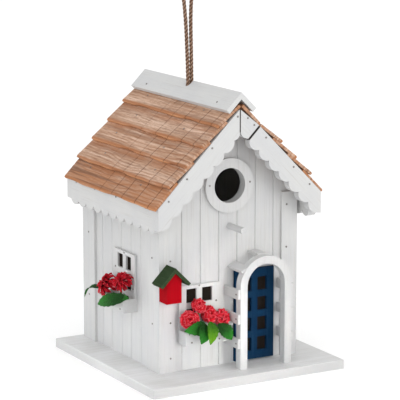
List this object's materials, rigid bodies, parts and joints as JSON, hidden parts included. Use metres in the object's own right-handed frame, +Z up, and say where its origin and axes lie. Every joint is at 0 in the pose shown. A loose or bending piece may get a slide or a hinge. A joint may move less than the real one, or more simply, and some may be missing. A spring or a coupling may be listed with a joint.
{
  "type": "birdhouse",
  "caption": "Wooden country-house birdhouse with a round entrance, a dummy door under an arch, window boxes and a hinged roof slope, hung from a doubled jute cord.",
  "frame": {"origin": "centre of the base board's underside", "axes": "+Z up; the front wall with the entrance faces -Y; +X is to the right of someone who looks at the front"},
  "size_m": [0.2, 0.202, 0.3937],
  "materials": {
    "white_paint": "satin white paint on softwood",
    "bare_wood": "bare stained softwood with open grain",
    "blue_paint": "satin navy paint on plywood",
    "dark_backing": "matt black",
    "red_paint": "satin red paint on softwood",
    "green_paint": "satin dark green paint on plywood",
    "red_petals": "dyed fabric petals",
    "green_leaves": "dyed fabric leaves on moulded stems",
    "jute": "twisted jute twine",
    "steel_brads": "dull steel",
    "hinge_brass": "brass plate"
  },
  "bodies": {
    "house": {"base_board": "white_paint", "front_wall": "white_paint", "back_wall": "white_paint", "left_wall": "white_paint", "right_wall": "white_paint", "front_left_strip": "white_paint", "front_right_strip": "white_paint", "side_corner_strips": "white_paint", "ridge_cap_left": "white_paint", "ridge_cap_right": "white_paint", "barge_front_left": "white_paint", "barge_back_left": "white_paint", "barge_front_right_top": "white_paint", "barge_back_right_top": "white_paint", "fascia_left": "white_paint", "entrance_ring": "white_paint", "perch": "white_paint", "portal_arch": "white_paint", "portal_slats": "white_paint", "front_window_frame": "white_paint", "side_window_frame": "white_paint", "front_flower_box": "white_paint", "side_flower_box": "white_paint", "roof_deck_left": "bare_wood", "roof_deck_right": "bare_wood", "left_course_1": "bare_wood", "left_course_2": "bare_wood", "left_course_3": "bare_wood", "left_course_4": "bare_wood", "left_course_5": "bare_wood", "right_top_course": "bare_wood", "door_panel": "blue_paint", "door_backing": "dark_backing", "window_backings": "dark_backing", "mini_house_body": "red_paint", "mini_house_roof": "green_paint", "front_blooms": "red_petals", "side_blooms": "red_petals", "flower_leaves": "green_leaves", "flower_stems": "green_leaves", "hanging_rope": "jute", "rope_knot": "jute", "roof_brads": "steel_brads", "wall_brads": "steel_brads", "trim_brads": "steel_brads", "base_nails": "steel_brads", "hinge_leaves_fixed": "hinge_brass", "hinge_pins": "hinge_brass", "hinge_screws_fixed": "hinge_brass"},
    "roof_flap": {"flap_deck": "bare_wood", "flap_course_1": "bare_wood", "flap_course_2": "bare_wood", "flap_course_3": "bare_wood", "flap_course_4": "bare_wood", "flap_barge_front": "white_paint", "flap_barge_back": "white_paint", "flap_fascia": "white_paint", "flap_brads": "steel_brads", "hinge_leaves_flap": "hinge_brass", "hinge_screws_flap": "hinge_brass"}
  },
  "joints": [
    {"name": "roof_flap_hinge", "type": "hinge", "parent": "house", "child": "roof_flap", "pos_m": [0.0215, 0.011, 0.23402], "axis": [0, -1, 0], "range_deg": [0, 110]}
  ]
}
